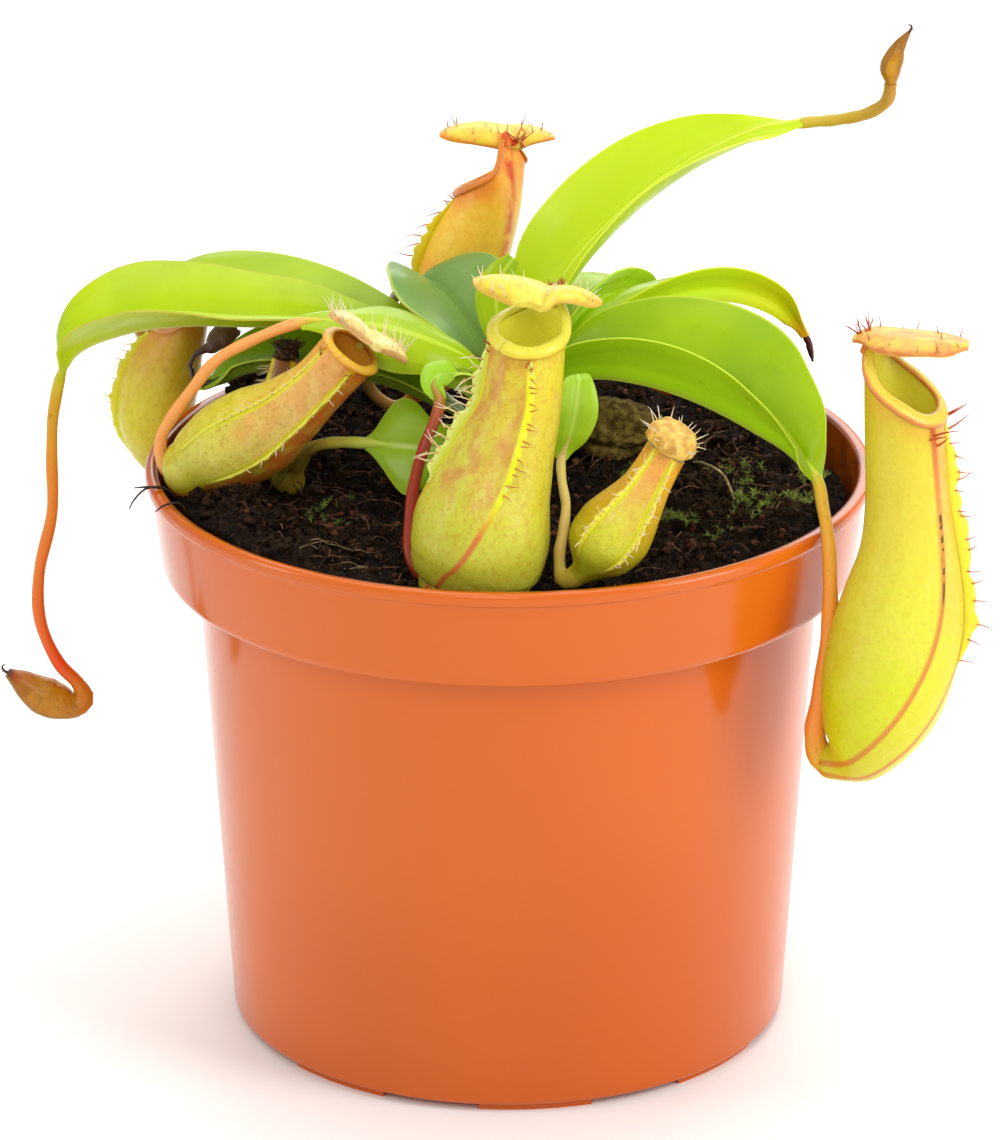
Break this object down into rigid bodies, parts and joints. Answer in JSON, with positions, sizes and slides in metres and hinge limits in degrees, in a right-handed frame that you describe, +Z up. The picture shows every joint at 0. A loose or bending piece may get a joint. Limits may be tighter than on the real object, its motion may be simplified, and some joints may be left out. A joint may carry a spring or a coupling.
{
  "type": "potted pitcher plant",
  "caption": "Tropical pitcher plant with keeled strap leaves, hanging and resting hollow pitchers with lids, growing in a round plastic nursery pot filled with soil.",
  "frame": {"origin": "the pot's axis at the plane that it stands on, at the middle of the centre foot under the pot", "axes": "+Z up along the pot's axis, -Y towards the picture's camera, +X to the right in the picture"},
  "size_m": [0.1628, 0.12, 0.1663],
  "materials": {
    "pot_plastic": "satin injection-moulded polypropylene",
    "peat": null,
    "stem_skin": "smooth green stem",
    "lime_leaf": null,
    "green_leaf": null,
    "grey_leaf": null,
    "tendril_skin": null,
    "pitcher_skin": null,
    "lid_skin": null,
    "bark": "rough bark",
    "withered_skin": "dry withered plant matter"
  },
  "bodies": {
    "root": {"pot": "pot_plastic", "soil": "peat", "stem": "stem_skin", "bark_lump": "bark", "leaf_left_long": "lime_leaf", "tendril_left_long": "tendril_skin", "bud_left_long": "pitcher_skin", "leaf_left_back": "lime_leaf", "tendril_left_back": "tendril_skin", "pitcher_left_back": "pitcher_skin", "lid_left_back": "lid_skin", "leaf_left_front": "lime_leaf", "tendril_left_front": "tendril_skin", "pitcher_left_front": "pitcher_skin", "lid_left_front": "lid_skin", "leaf_curled": "green_leaf", "tendril_curled": "tendril_skin", "pitcher_curled": "pitcher_skin", "lid_curled": "lid_skin", "leaf_arrow": "lime_leaf", "tendril_arrow": "tendril_skin", "bud_arrow": "pitcher_skin", "lid_arrow": "withered_skin", "leaf_grey_back": "grey_leaf", "tendril_grey_back": "tendril_skin", "pitcher_grey_back": "pitcher_skin", "lid_grey_back": "lid_skin", "leaf_young": "green_leaf", "leaf_upright_long": "lime_leaf", "tendril_upright_long": "tendril_skin", "bud_upright_long": "pitcher_skin", "leaf_right_back_dull": "green_leaf", "tendril_right_back_dull": "withered_skin", "leaf_right_back": "lime_leaf", "tendril_right_back": "withered_skin", "leaf_right_front": "green_leaf", "tendril_right_front": "tendril_skin", "pitcher_right_front": "pitcher_skin", "lid_right_front": "lid_skin", "leaf_small_oval": "green_leaf", "tendril_small_oval": "tendril_skin", "bud_small_oval": "pitcher_skin", "lid_small_oval": "lid_skin", "leaf_left_low": "green_leaf", "tendril_left_low": "withered_skin"}
  },
  "joints": []
}
